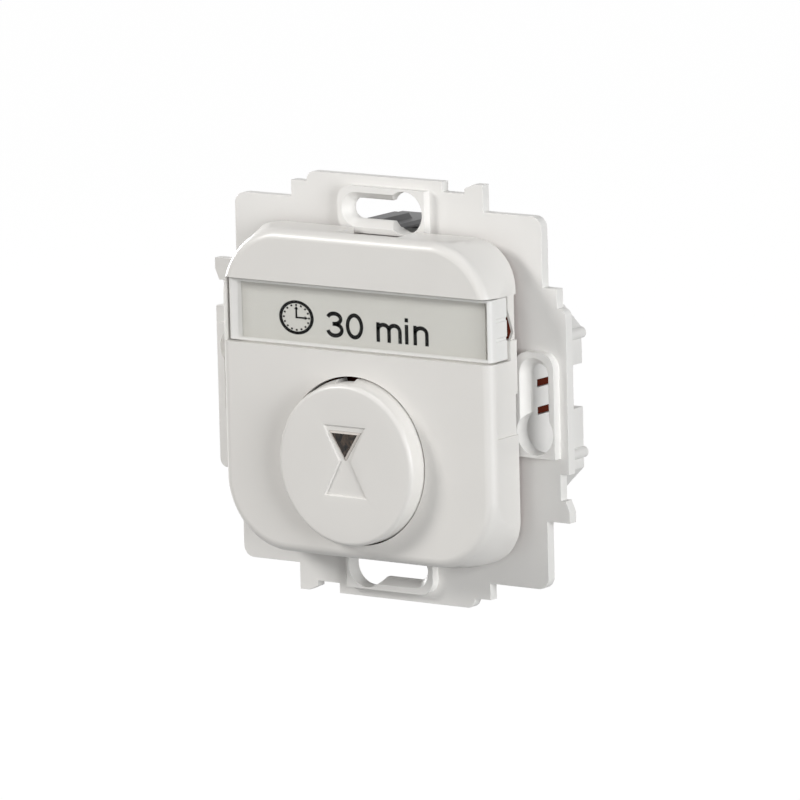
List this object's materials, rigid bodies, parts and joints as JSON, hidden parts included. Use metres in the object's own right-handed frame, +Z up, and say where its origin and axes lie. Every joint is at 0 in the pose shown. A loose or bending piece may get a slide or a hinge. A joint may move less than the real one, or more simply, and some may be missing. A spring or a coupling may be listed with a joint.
{
  "type": "timer light switch",
  "caption": "Flush timer light switch: square cover with a clear label window and a large sprung round button, on a screw-fixed plate with a rear housing, relay and wire release levers.",
  "frame": {"origin": "middle of the four keyholes, on the rear face of the mounting plate, where it meets the wall", "axes": "+X to the right as the switch is looked at, +Y into the wall, +Z up; the button faces -Y"},
  "size_m": [0.071, 0.0327, 0.071],
  "materials": {
    "white_plastic": "fine moulded",
    "white_gloss": "polished moulding",
    "brown_plastic": "moulded",
    "clear_plastic": "clear moulding",
    "clear_lens": "rough back, clear face",
    "card": "plain card",
    "spring_steel": "drawn wire and strip",
    "zinc_steel": "zinc plated",
    "brass": "plain",
    "coil_wire": "enamelled wire",
    "green_board": "solder mask",
    "brown_board": "bare board",
    "black_plastic": "moulded",
    "pale_plastic": "moulded",
    "blue_plastic": "moulded",
    "red_plastic": "lacquered",
    "dark_sleeve": "shrink sleeve",
    "tan_lacquer": "lacquered",
    "amber_lamp": "tinted resin",
    "grey_plastic": "moulded"
  },
  "bodies": {
    "base": {"mounting_plate": "white_plastic", "rear_housing": "white_plastic", "inner_chassis": "brown_plastic", "cover": "white_gloss", "label_card": "card", "button_spring_left": "spring_steel", "button_spring_right": "spring_steel", "control_board": "green_board", "push_switch": "black_plastic", "indicator_lamp": "amber_lamp", "timer_chip": "black_plastic", "board_screws": "zinc_steel", "header_strip": "black_plastic", "header_pins": "brass", "power_board": "brown_board", "relay_base": "black_plastic", "relay_coil": "coil_wire", "relay_yoke": "zinc_steel", "relay_case": "blue_plastic", "film_capacitor": "red_plastic", "smoothing_capacitor": "dark_sleeve", "varistor": "blue_plastic", "fuse_link": "pale_plastic", "resistors": "tan_lacquer", "diodes": "black_plastic", "terminal_cages": "brass", "terminal_springs_top": "spring_steel", "terminal_springs_bottom": "spring_steel"},
    "window": {"label_window": "clear_plastic"},
    "button": {"push_button": "white_gloss", "button_lens": "clear_lens"},
    "plunger": {"switch_plunger": "pale_plastic"},
    "armature": {"relay_armature": "zinc_steel"},
    "lever_top": {"release_lever_top": "grey_plastic"},
    "lever_bottom": {"release_lever_bottom": "grey_plastic"}
  },
  "joints": [
    {"name": "button_press", "type": "slide", "parent": "base", "child": "button", "axis": [0, 1, 0], "range_m": [0, 0.0015], "stiffness_N_per_m": 800, "springref_m": -0.0015, "deforming": ["button_spring_left", "button_spring_right"]},
    {"name": "plunger_travel", "type": "slide", "parent": "base", "child": "plunger", "axis": [0, 1, 0], "range_m": [0, 0.0015]},
    {"name": "window_pull", "type": "slide", "parent": "base", "child": "window", "axis": [0, -1, 0], "range_m": [0, 0.008]},
    {"name": "release_top", "type": "slide", "parent": "base", "child": "lever_top", "axis": [0, 0, -1], "range_m": [0, 0.001], "stiffness_N_per_m": 1000, "springref_m": -0.001, "deforming": ["terminal_springs_top"]},
    {"name": "release_bottom", "type": "slide", "parent": "base", "child": "lever_bottom", "axis": [0, 0, 1], "range_m": [0, 0.001], "stiffness_N_per_m": 1000, "springref_m": -0.001, "deforming": ["terminal_springs_bottom"]},
    {"name": "armature_swing", "type": "hinge", "parent": "base", "child": "armature", "pos_m": [0.0059, 0, -0.0135], "axis": [0, 0, 1], "range_deg": [0, 6], "stiffness_Nm_per_rad": 0.02, "springref_deg": -2.86}
  ],
  "couplings": [
    {"joint": "plunger_travel", "follows": "button_press", "ratio": 1}
  ]
}
